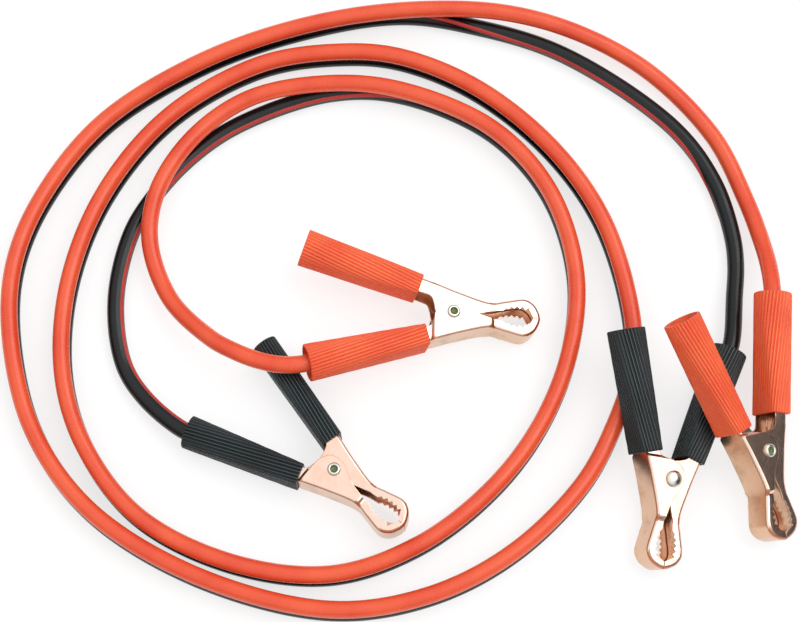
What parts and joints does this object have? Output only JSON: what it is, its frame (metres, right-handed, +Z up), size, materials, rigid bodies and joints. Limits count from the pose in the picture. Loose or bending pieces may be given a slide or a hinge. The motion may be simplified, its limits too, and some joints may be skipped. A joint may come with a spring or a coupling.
{
  "type": "car jumper cable",
  "caption": "Twin-lead car jumper cable laid in loose turns, with copper-plated spring clamps in red and black ribbed sleeves.",
  "frame": {"origin": "on the floor, under the middle of the box round the clamps", "axes": "+X to the right of the laid-out cable, +Y away from the viewer, +Z up from the floor"},
  "size_m": [0.4548, 0.3699, 0.0674],
  "materials": {
    "red_lead": "smooth red PVC insulation, half gloss",
    "black_lead": "smooth black PVC insulation, half gloss",
    "red_sleeve": "soft red PVC with lengthwise ribs",
    "black_sleeve": "soft black PVC with lengthwise ribs",
    "copper_plate": "copper-plated pressed steel, bright",
    "rivet": "plated steel, bright",
    "spring": "copper-washed spring wire"
  },
  "bodies": {
    "leads_and_fixed_jaws": {"red_lead": "red_lead", "black_lead": "black_lead", "centre_red_cable_jaw": "copper_plate", "centre_red_cable_sleeve": "red_sleeve", "centre_red_rivet": "rivet", "centre_red_spring": "spring", "left_black_cable_jaw": "copper_plate", "left_black_cable_sleeve": "black_sleeve", "left_black_rivet": "rivet", "left_black_spring": "spring", "right_black_cable_jaw": "copper_plate", "right_black_cable_sleeve": "black_sleeve", "right_black_rivet": "rivet", "right_black_spring": "spring", "right_red_cable_jaw": "copper_plate", "right_red_cable_sleeve": "red_sleeve", "right_red_rivet": "rivet", "right_red_spring": "spring"},
    "centre_red_handle": {"centre_red_free_jaw": "copper_plate", "centre_red_free_sleeve": "red_sleeve"},
    "left_black_handle": {"left_black_free_jaw": "copper_plate", "left_black_free_sleeve": "black_sleeve"},
    "right_black_handle": {"right_black_free_jaw": "copper_plate", "right_black_free_sleeve": "black_sleeve"},
    "right_red_handle": {"right_red_free_jaw": "copper_plate", "right_red_free_sleeve": "red_sleeve"}
  },
  "joints": [
    {"name": "centre_red_squeeze", "type": "hinge", "parent": "leads_and_fixed_jaws", "child": "centre_red_handle", "pos_m": [-0.02074, 0.04959, 0.01651], "axis": [0.1471, 0.0298, 0.9887], "range_deg": [0, 26], "stiffness_Nm_per_rad": 1.5, "springref_deg": -45.84, "deforming": ["centre_red_spring"]},
    {"name": "left_black_squeeze", "type": "hinge", "parent": "leads_and_fixed_jaws", "child": "left_black_handle", "pos_m": [-0.08704, -0.04211, 0.01334], "axis": [-0.0204, 0.0164, 0.9997], "range_deg": [0, 26], "stiffness_Nm_per_rad": 1.5, "springref_deg": -45.84, "deforming": ["left_black_spring"]},
    {"name": "right_black_squeeze", "type": "hinge", "parent": "leads_and_fixed_jaws", "child": "right_black_handle", "pos_m": [0.09996, -0.04661, 0.01698], "axis": [-0.3777, 0.1376, -0.9156], "range_deg": [0, 26], "stiffness_Nm_per_rad": 1.5, "springref_deg": -45.84, "deforming": ["right_black_spring"]},
    {"name": "right_red_squeeze", "type": "hinge", "parent": "leads_and_fixed_jaws", "child": "right_red_handle", "pos_m": [0.15246, -0.03181, 0.0227], "axis": [-0.5151, 0.0917, -0.8522], "range_deg": [0, 26], "stiffness_Nm_per_rad": 1.5, "springref_deg": -45.84, "deforming": ["right_red_spring"]}
  ]
}
